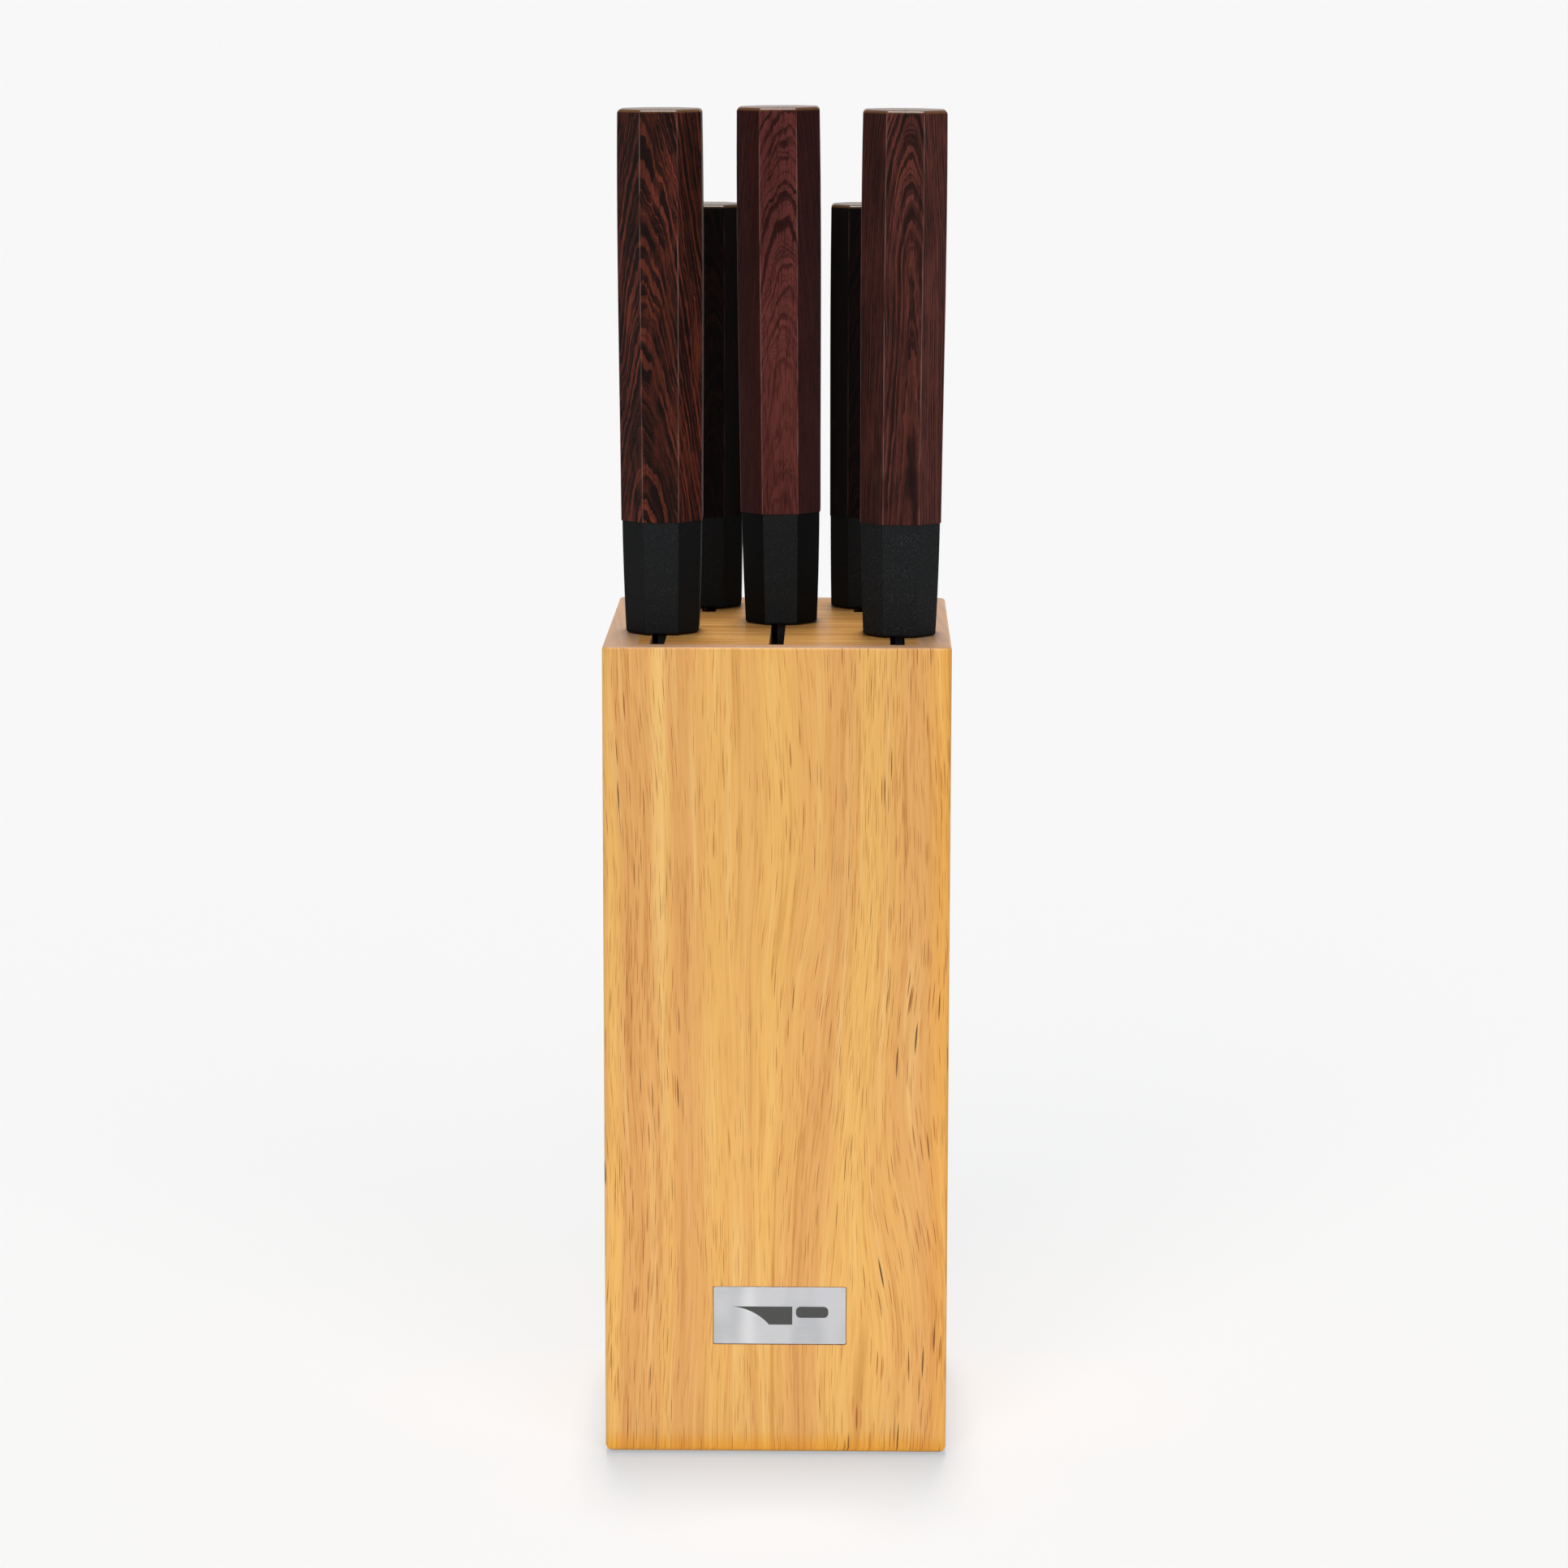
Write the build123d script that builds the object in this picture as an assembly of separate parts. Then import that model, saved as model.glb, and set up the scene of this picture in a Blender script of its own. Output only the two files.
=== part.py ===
from build123d import *
import math
import os

# A knife block with five knives. Millimetres, +Z up, origin at the centre of the
# footprint on the surface that the feet stand on. The front of the block faces -Y.

# ---------------------------------------------------------------- block, driving sizes
BLOCK_WIDTH = 95.0
BLOCK_DEPTH = 103.0
BOARD_HEIGHT = 227.0
FRONT_BOARD = 5.6  # thickness of the front and back boards
SIDE_BOARD = 9.4  # thickness of the two side boards
CORNER_RADIUS = 2.0  # upright edges
BOTTOM_EDGE_RADIUS = 1.8
TOP_EDGE_RADIUS = 0.8

FOOT_PROUD = 1.2  # the feet hold the wood this far off the table
FOOT_RADIUS = 6.0
FOOT_RECESS = 1.6
FOOT_ROOM = 0.1  # round each foot in its recess
FOOT_EDGE_RADIUS = 0.5
FOOT_INSET_X = 27.0
FOOT_INSET_Y = 33.0

PLATE_THICKNESS = 14.0  # slotted top plate
BASE_THICKNESS = 10.0
GUIDE_THICKNESS = 10.0  # slotted plate inside that keeps the blades apart
GUIDE_DROP = 80.0  # from the top of the block down to the guide
SLOT_WIDTH = 4.0
GUIDE_SLOT_WIDTH = 5.5
SLOT_END_ROOM = 1.6  # from a blade's spine to the end of its slot
REAR_SLOT_START = 19.5  # Y where the two rear slots begin

DOWEL_RADIUS = 3.0
DOWEL_LENGTH = 20.0  # of the bore; the pin is a little smaller all round
DOWEL_ROOM = 0.05  # between a pin and its bore
DOWEL_END_ROOM = 0.25  # at each end of a pin
DOWEL_CHAMFER = 0.6
DOWEL_IN_SIDE = 6.5  # how much of each dowel is in the side board
PLATE_DOWELS_Y = (-4.0, 12.0)
BASE_DOWELS_Y = (-30.0, 30.0)

# ---------------------------------------------------------------- name plate
NAME_WIDTH = 36.8
NAME_HEIGHT = 16.4
NAME_THICKNESS = 0.8
NAME_CORNER = 0.5
NAME_X = 1.1
NAME_Z = 40.8
NAME_SUNK = 0.05  # the plate's face is this far below the wood
NAME_GAP = 0.15  # round the plate in its recess
NAME_CHAMFER = 0.15  # round the plate's face
PAD_THICKNESS = 0.25
PAD_MARGIN = 1.0
INLAY_DEPTH = 0.15
SIGN_BLADE_LENGTH = 17.0  # the knife sign on the plate
SIGN_BLADE_HEIGHT = 5.2
SIGN_STRAIGHT_EDGE = 6.5  # of the blade's edge, from the heel
SIGN_BELLY_RADIUS = 15.0
SIGN_GAP = 1.0  # blade to grip
SIGN_GRIP = (9.0, 3.2, 1.3)  # length, height and corner radius

# ---------------------------------------------------------------- knives
REST_GAP = 0.3  # collar to top plate
BLADE_THICKNESS = 2.2
BEVEL_ANGLE = 80.0  # of the ground bevels, from the blade's flat
FLAT_SKIN = 0.001  # ground off each of the blade's flats
GRIND_REACH = 12.0  # how far the grinding outline runs past the tip
GLUE_LINE = 0.04  # between the two halves of a handle
TANG_ROOM = 0.1  # round the tang in its channel
BUTT_RADIUS = 1.2
COLLAR_EDGE_RADIUS = 0.9
ROUNDING_STEPS = 5  # rings that round over a collar's foot or a butt
FACET_EDGE_RADIUS = 0.45
FRONT_FACET = 0.447  # front facet's share of the handle's width
DEPTH_RATIO = 1.09  # handle's front-to-back depth over its width
SIDE_FACET = 0.49  # side facet's share of the handle's depth
SERRATION_PITCH = 5.0
SERRATION_RADIUS = 3.2
SERRATION_DEPTH = 0.8

# Handle sizes: (height above the collar's foot, width across) for each section.
LARGE_HANDLE = {
    "collar": ((0.0, 20.0), (13.0, 20.9), (31.2, 21.65)),
    "wood": ((31.2, 22.25), (75.0, 22.85), (118.0, 23.2), (143.3, 22.85)),
    "tang": (9.0, 86.0),
    "neck": (14.0, 10.0),
    "spine": 5.5,
}
SMALL_HANDLE = {
    "collar": ((0.0, 17.5), (11.0, 17.8), (26.2, 18.0)),
    "wood": ((26.2, 18.3), (60.0, 18.5), (95.0, 18.5), (115.0, 18.2)),
    "tang": (7.5, 64.0),
    "neck": (11.0, 8.0),
    "spine": 6.0,
}

# Each knife: slot X, knife X and Y, lean to the right in degrees, handle, and its blade:
# length, height, tip's drop from the spine, straight shares of edge and spine.
KNIVES = {
    "left_front": {
        "slot_x": -32.7, "x": -32.05, "y": -19.3, "lean": -0.2, "handle": LARGE_HANDLE,
        "blade": (200.0, 30.0, 4.0, 0.70, 0.80), "serrated": False,
    },
    "center_front": {
        "slot_x": -0.2, "x": 0.5, "y": 1.9, "lean": -0.44, "handle": LARGE_HANDLE,
        "blade": (200.0, 49.0, 5.0, 0.45, 0.60), "serrated": False,
    },
    "right_front": {
        "slot_x": 32.8, "x": 33.4, "y": -22.8, "lean": 0.33, "handle": LARGE_HANDLE,
        "blade": (200.0, 27.0, 15.0, 0.90, 0.70), "serrated": True,
    },
    "left_rear": {
        "slot_x": -20.5, "x": -20.3, "y": 34.0, "lean": 0.0, "handle": SMALL_HANDLE,
        "blade": (130.0, 19.5, 3.0, 0.60, 0.75), "serrated": False,
    },
    "right_rear": {
        "slot_x": 22.9, "x": 23.1, "y": 34.4, "lean": 0.0, "handle": SMALL_HANDLE,
        "blade": (90.0, 19.0, 3.0, 0.50, 0.60), "serrated": False,
    },
}

# ---------------------------------------------------------------- worked out from these
FLOOR_Z = FOOT_PROUD
TOP_Z = FLOOR_Z + BOARD_HEIGHT
FRONT_Y = -BLOCK_DEPTH / 2
INNER_WIDTH = BLOCK_WIDTH - 2 * SIDE_BOARD
INNER_DEPTH = BLOCK_DEPTH - 2 * FRONT_BOARD
INNER_X = INNER_WIDTH / 2
INNER_Y = INNER_DEPTH / 2
GUIDE_TOP_Z = TOP_Z - GUIDE_DROP


def box_between(low, high):
    """A box from its lowest corner to its highest corner."""
    size = [b - a for a, b in zip(low, high)]
    middle = [(a + b) / 2 for a, b in zip(low, high)]
    return Pos(*middle) * Box(*size)


# ---------------------------------------------------------------- block


def block_envelope():
    """The outside of the finished block, with its rounded edges, as one solid."""
    solid = box_between(
        (-BLOCK_WIDTH / 2, -BLOCK_DEPTH / 2, FLOOR_Z),
        (BLOCK_WIDTH / 2, BLOCK_DEPTH / 2, TOP_Z),
    )
    solid = fillet(solid.edges().filter_by(Axis.Z), CORNER_RADIUS)
    solid = fillet(solid.faces().sort_by(Axis.Z)[0].edges(), BOTTOM_EDGE_RADIUS)
    return fillet(solid.faces().sort_by(Axis.Z)[-1].edges(), TOP_EDGE_RADIUS)


def dowel_places():
    """Centre of every dowel: two per side in the top plate, the guide and the base."""
    heights = (
        (TOP_Z - PLATE_THICKNESS / 2, PLATE_DOWELS_Y),
        (GUIDE_TOP_Z - GUIDE_THICKNESS / 2, PLATE_DOWELS_Y),
        (FLOOR_Z + BASE_THICKNESS / 2, BASE_DOWELS_Y),
    )
    reach = INNER_X + DOWEL_IN_SIDE - DOWEL_LENGTH / 2
    return [(side * reach, y, z) for z, ys in heights for y in ys for side in (-1, 1)]


def dowels(radius, length):
    """Cylinders along X at every dowel's place."""
    return [Pos(*place) * Rot(0, 90, 0) * Cylinder(radius, length) for place in dowel_places()]


def wooden_dowels():
    """Plain round pins, chamfered at both ends, one solid each."""
    pins = []
    for pin in dowels(DOWEL_RADIUS - DOWEL_ROOM, DOWEL_LENGTH - 2 * DOWEL_END_ROOM):
        ends = pin.edges().filter_by(GeomType.CIRCLE)
        pins.append(chamfer(ends, DOWEL_CHAMFER))
    return Compound(children=pins)


def front_board():
    """Full-width front board with the name plate's shallow recess."""
    board = box_between(
        (-BLOCK_WIDTH / 2, -BLOCK_DEPTH / 2, FLOOR_Z),
        (BLOCK_WIDTH / 2, -INNER_Y, TOP_Z),
    )
    depth = NAME_SUNK + NAME_THICKNESS + PAD_THICKNESS
    recess = name_slab(NAME_WIDTH + 2 * NAME_GAP, NAME_HEIGHT + 2 * NAME_GAP, 0.0, depth)
    return (board & block_envelope()) - recess


def back_board():
    """Full-width back board."""
    board = box_between(
        (-BLOCK_WIDTH / 2, INNER_Y, FLOOR_Z),
        (BLOCK_WIDTH / 2, BLOCK_DEPTH / 2, TOP_Z),
    )
    return board & block_envelope()


def side_board(side):
    """Side board between the front and back boards, bored for its dowels. side is -1 or 1."""
    board = box_between(
        (min(side * INNER_X, side * BLOCK_WIDTH / 2), -INNER_Y, FLOOR_Z),
        (max(side * INNER_X, side * BLOCK_WIDTH / 2), INNER_Y, TOP_Z),
    )
    return (board & block_envelope()) - dowels(DOWEL_RADIUS, DOWEL_LENGTH)


def slots(width, low_z, high_z):
    """One sawn slot per knife: the front three open at the front board, the rear two at the back."""
    cuts = []
    for knife in KNIVES.values():
        low_y = -INNER_Y
        high_y = knife["y"] + knife["handle"]["spine"] + SLOT_END_ROOM
        if high_y > REAR_SLOT_START:
            low_y = REAR_SLOT_START
            high_y = INNER_Y
        half = width / 2
        cuts.append(
            box_between((knife["slot_x"] - half, low_y, low_z), (knife["slot_x"] + half, high_y, high_z))
        )
    return cuts


def slotted_plate(top_z, thickness, slot_width):
    """A plate let in between the boards, with the slots cut right through and dowel bores."""
    plate = box_between((-INNER_X, -INNER_Y, top_z - thickness), (INNER_X, INNER_Y, top_z))
    plate = plate - slots(slot_width, top_z - thickness, top_z)
    return plate - dowels(DOWEL_RADIUS, DOWEL_LENGTH)


def base_board():
    """Closes the bottom, bored for its dowels and for the feet."""
    board = box_between(
        (-INNER_X, -INNER_Y, FLOOR_Z), (INNER_X, INNER_Y, FLOOR_Z + BASE_THICKNESS)
    )
    board = board - dowels(DOWEL_RADIUS, DOWEL_LENGTH)
    radius = FOOT_RADIUS + FOOT_ROOM
    return board - [Pos(x, y, FLOOR_Z) * Cylinder(radius, 2 * FOOT_RECESS) for x, y in foot_places()]


def foot_places():
    """Feet in reading order: front left, front right, rear left, rear right."""
    return [(sx * FOOT_INSET_X, sy * FOOT_INSET_Y) for sy in (-1, 1) for sx in (-1, 1)]


def rubber_foot(x, y):
    """Round rubber foot, glued into its recess, with a rounded lower edge."""
    height = FOOT_PROUD + FOOT_RECESS
    foot = Pos(x, y, height / 2) * Cylinder(FOOT_RADIUS, height)
    lower_edge = foot.edges().filter_by(GeomType.CIRCLE).sort_by(Axis.Z)[0]
    return fillet(lower_edge, FOOT_EDGE_RADIUS)


# ---------------------------------------------------------------- name plate


def name_slab(width, height, start, end):
    """A thin upright slab on the name plate's centre, from start to end behind the front."""
    outline = Plane.XZ * RectangleRounded(width, height, NAME_CORNER)
    slab = extrude(outline, end - start)
    return Pos(NAME_X, FRONT_Y + end, NAME_Z) * slab


def knife_pictogram(depth):
    """A plain kitchen-knife sign: a blade with a curved belly, and a rounded grip."""
    grip_length, grip_height, grip_corner = SIGN_GRIP
    tip_x = -(SIGN_BLADE_LENGTH + SIGN_GAP + grip_length) / 2
    heel_x = tip_x + SIGN_BLADE_LENGTH
    spine_z = SIGN_BLADE_HEIGHT / 2
    tip = (tip_x, spine_z)
    belly = (heel_x - SIGN_STRAIGHT_EDGE, -spine_z)
    outline = Polyline(tip, (heel_x, spine_z), (heel_x, -spine_z), belly)
    blade = make_face(outline + RadiusArc(belly, tip, -SIGN_BELLY_RADIUS))
    grip_x = heel_x + SIGN_GAP + grip_length / 2
    grip = Pos(grip_x, spine_z - grip_height / 2) * RectangleRounded(*SIGN_GRIP)
    sign = Plane.XZ * (blade + grip)
    return Pos(NAME_X, FRONT_Y + NAME_SUNK + depth, NAME_Z) * extrude(sign, depth)


def name_plate():
    """Brushed metal plate with a bevelled rim and the sign engraved in its face."""
    plate = name_slab(NAME_WIDTH, NAME_HEIGHT, NAME_SUNK, NAME_SUNK + NAME_THICKNESS)
    face = plate.faces().sort_by(Axis.Y)[0]
    return chamfer(face.edges(), NAME_CHAMFER) - knife_pictogram(INLAY_DEPTH)


def name_inlay():
    """Dark enamel that fills the engraved sign."""
    return knife_pictogram(INLAY_DEPTH)


def adhesive_pad():
    """Double-sided pad behind the name plate."""
    start = NAME_SUNK + NAME_THICKNESS
    return name_slab(
        NAME_WIDTH - 2 * PAD_MARGIN, NAME_HEIGHT - 2 * PAD_MARGIN, start, start + PAD_THICKNESS
    )


# ---------------------------------------------------------------- knives, each in its own frame
# A knife's frame has its origin at the middle of the collar's foot, +Z up the handle. The
# blade hangs below, with its cutting edge to -Y and its spine to +Y.


def octagon(width, z):
    """Handle section: an octagon with wide diagonal facets and softened corners."""
    half_x = width / 2
    half_y = half_x * DEPTH_RATIO
    facet_x = half_x * FRONT_FACET
    facet_y = half_y * SIDE_FACET
    quarter = [(facet_x, -half_y), (half_x, -facet_y)]
    right = quarter + [(x, -y) for x, y in reversed(quarter)]
    corners = right + [(-x, y) for x, y in reversed(right)]
    shape = Polygon(*corners, align=None)
    return Pos(0, 0, z) * fillet(shape.vertices(), FACET_EDGE_RADIUS)


def rounded_end(z, width, radius, way):
    """Rings that round over the end of a handle body. way is +1 at the top, -1 at the foot."""
    rings = []
    for step in range(ROUNDING_STEPS + 1):
        angle = math.radians(90 * step / ROUNDING_STEPS)
        inset = radius * (1 - math.cos(angle))
        rings.append(octagon(width - 2 * inset, z - way * radius * (1 - math.sin(angle))))
    return loft(rings, ruled=True)


def collar_body(sections):
    """Smooth body through the collar's sections, rounded over at the foot."""
    foot_z, foot_width = sections[0]
    rings = [octagon(foot_width, foot_z + COLLAR_EDGE_RADIUS)]
    rings += [octagon(width, z) for z, width in sections[1:]]
    return loft(rings) + rounded_end(foot_z, foot_width, COLLAR_EDGE_RADIUS, -1)


def wood_body(sections):
    """Smooth body through the wooden handle's sections, rounded over at the butt."""
    butt_z, butt_width = sections[-1]
    rings = [octagon(width, z) for z, width in sections[:-1]]
    rings.append(octagon(butt_width, butt_z - BUTT_RADIUS))
    return loft(rings) + rounded_end(butt_z, butt_width, BUTT_RADIUS, 1)


def tang_box(handle, room):
    """The straight tang above the collar's foot, grown by room on every side."""
    width, length = handle["tang"]
    half_x = BLADE_THICKNESS / 2 + room
    half_y = width / 2 + room
    return box_between((-half_x, -half_y, 0.0), (half_x, half_y, length + room))


def collar(handle):
    """Octagonal bolster with a slot for the tang and a rounded foot."""
    return collar_body(handle["collar"]) - tang_box(handle, TANG_ROOM)


def handle_half(handle, side):
    """Left (-1) or right (1) half of the wooden handle, with its half of the tang's channel."""
    body = wood_body(handle["wood"]) - tang_box(handle, TANG_ROOM)
    top, reach = handle["wood"][-1]
    keep = box_between((GLUE_LINE / 2, -reach, 0.0), (reach, reach, top))
    if side < 0:
        keep = mirror(keep, about=Plane.YZ)
    return body & keep


def blade_points(handle, blade):
    """Named corners of a blade's outline, as (y, z) pairs in the knife's frame."""
    length, height, tip_drop, edge_share, spine_share = blade
    spine_y = handle["spine"]
    neck_width, neck_length = handle["neck"]
    return {
        "spine_top": (spine_y, 0.0),
        "neck_top": (spine_y - neck_width, 0.0),
        "neck_foot": (spine_y - neck_width, -neck_length),
        "heel": (spine_y - height, -neck_length),
        "belly": (spine_y - height, -neck_length - edge_share * length),
        "tip": (spine_y - tip_drop, -neck_length - length),
        "spine_end": (spine_y, -neck_length - spine_share * length),
    }


def outline_prism(outline, half_thickness, taper=0.0):
    """Both halves of a body extruded from an outline in the knife's middle plane."""
    face = Plane.YZ * outline
    right = extrude(face, half_thickness, taper=taper)
    return right + mirror(right, about=Plane.YZ)


def blade_body(handle, blade):
    """Neck and blade, with ground bevels along the cutting edge only."""
    at = blade_points(handle, blade)
    belly = TangentArc(at["belly"], at["tip"], tangent=(0, -1))
    spine = TangentArc(at["spine_end"], at["tip"], tangent=(0, -1))
    true_outline = make_face(
        Polyline(at["spine_end"], at["spine_top"], at["neck_top"], at["neck_foot"], at["heel"], at["belly"])
        + belly
        + spine
    )
    # The grinding outline follows the edge and is far from the blade everywhere else.
    margin = 4 * blade[1]
    beyond = Vector(*at["tip"]) + (belly % 1) * GRIND_REACH
    far_y = at["spine_top"][0] + margin
    wide_outline = make_face(
        Polyline(
            (beyond.X, beyond.Y),
            (far_y, beyond.Y),
            (far_y, margin),
            (at["belly"][0], margin),
            at["belly"],
        )
        + belly
        + Line(at["tip"], (beyond.X, beyond.Y))
    )
    flat = outline_prism(true_outline, BLADE_THICKNESS / 2)
    ground = outline_prism(wide_outline, BLADE_THICKNESS / 2 - FLAT_SKIN, taper=BEVEL_ANGLE)
    return flat & ground


def serrations(handle, blade):
    """Round notches along the straight part of the edge."""
    at = blade_points(handle, blade)
    run = at["heel"][1] - at["belly"][1]
    count = int(run / SERRATION_PITCH)
    y = at["heel"][0] - SERRATION_RADIUS + SERRATION_DEPTH
    first = at["heel"][1] - (run - (count - 1) * SERRATION_PITCH) / 2
    notch = Rot(0, 90, 0) * Cylinder(SERRATION_RADIUS, 2 * BLADE_THICKNESS)
    return [Pos(0, y, first - i * SERRATION_PITCH) * notch for i in range(count)]


def knife_blade(knife):
    """Blade, neck and hidden tang in one piece of steel."""
    steel = blade_body(knife["handle"], knife["blade"])
    if knife["serrated"]:
        steel = steel - serrations(knife["handle"], knife["blade"])
    return steel + tang_box(knife["handle"], 0.0)


def place_knife(knife, piece):
    """Puts a piece made in the knife's frame where the knife rests in the block."""
    return Pos(knife["x"], knife["y"], TOP_Z + REST_GAP) * Rot(0, knife["lean"], 0) * piece


# ---------------------------------------------------------------- all parts


def block_parts():
    """Every fixed piece of the block, by node name."""
    parts = {
        "front_board": front_board(),
        "back_board": back_board(),
        "left_side_board": side_board(-1),
        "right_side_board": side_board(1),
        "slotted_top_plate": slotted_plate(TOP_Z, PLATE_THICKNESS, SLOT_WIDTH),
        "blade_guide": slotted_plate(GUIDE_TOP_Z, GUIDE_THICKNESS, GUIDE_SLOT_WIDTH),
        "base_board": base_board(),
        "wooden_dowels": wooden_dowels(),
        "name_plate": name_plate(),
        "name_inlay": name_inlay(),
        "adhesive_pad": adhesive_pad(),
    }
    names = ("front_left", "front_right", "rear_left", "rear_right")
    for name, (x, y) in zip(names, foot_places()):
        parts["foot_" + name] = rubber_foot(x, y)
    return parts


def knife_parts(name, knife):
    """The four pieces of one knife, by node name."""
    handle = knife["handle"]
    pieces = {
        "blade": knife_blade(knife),
        "collar": collar(handle),
        "handle_left_half": handle_half(handle, -1),
        "handle_right_half": handle_half(handle, 1),
    }
    return {name + "_" + piece: place_knife(knife, solid) for piece, solid in pieces.items()}


def main():
    os.makedirs("parts", exist_ok=True)
    parts = block_parts()
    for name, knife in KNIVES.items():
        parts.update(knife_parts(name, knife))
    for name, solid in parts.items():
        export_step(solid, os.path.join("parts", name + ".step"))


main()
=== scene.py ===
import math

import bpy
from mathutils import Matrix, Vector


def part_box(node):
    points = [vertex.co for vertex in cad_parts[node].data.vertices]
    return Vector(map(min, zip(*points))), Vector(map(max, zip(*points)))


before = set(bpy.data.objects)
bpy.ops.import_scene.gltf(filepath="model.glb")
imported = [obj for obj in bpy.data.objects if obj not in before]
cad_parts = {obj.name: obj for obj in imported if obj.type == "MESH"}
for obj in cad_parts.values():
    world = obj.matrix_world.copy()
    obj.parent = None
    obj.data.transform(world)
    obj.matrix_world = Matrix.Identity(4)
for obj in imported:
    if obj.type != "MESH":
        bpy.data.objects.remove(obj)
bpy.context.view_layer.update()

# Looks for the knife block. The camera and the floor are in metres, in the row frame. The
# materials work in millimetres, because the wood's features are millimetres wide.

MM = 1000.0  # millimetres in a metre
KNIVES = ("left_front", "center_front", "right_front", "left_rear", "right_rear")

# Camera: a long lens, a little above the block and aimed at the middle of the whole object.
AIM = Vector((0.0013, 0.0, 0.1817))
CAMERA_DISTANCE = 1.3258
CAMERA_YAW = math.radians(-0.827)  # turned a little to the left
CAMERA_PITCH = math.radians(9.931)  # downwards
CAMERA_ROLL = math.radians(0.0995)
LENS_MM = 107.41
SENSOR_MM = 36.0
CLIP_NEAR = 0.05
CLIP_FAR = 400.0

FLOOR_HALF_WIDTH = 60.0
# The floor's paint and glow add up to a neutral white in the open. The paint is the warmer of
# the two, so that the shade beside the orange wood comes out neutral as well.
FLOOR_PAINT = (0.476, 0.420, 0.386, 1.0)
FLOOR_GLOW = (0.333, 0.405, 0.448, 1.0)

# Soft lights: azimuth, elevation, strength and width. The angles and widths are in degrees.
KEY_LIGHT = (-12.0, 36.0, 1.0, 35.0)
FILL_LIGHT = (22.0, 30.0, 0.7, 40.0)
# A strip light overhead, running from front to back. Its shadow is short and soft in front of
# the block, and hardly spreads to the sides.
STRIP_AZIMUTH = 180.0
STRIP_ELEVATIONS = (88.0, 83.5, 79.0)
STRIP_STRENGTH = 0.75
STRIP_WIDTH = 5.5

# Brightness of the studio overhead and in front, of its back wall, and just above the floor.
STUDIO_DIM = 0.22
STUDIO_WALL = 1.2
STUDIO_HORIZON = 0.94


# ------------------------------------------------------------------ node helpers


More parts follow.
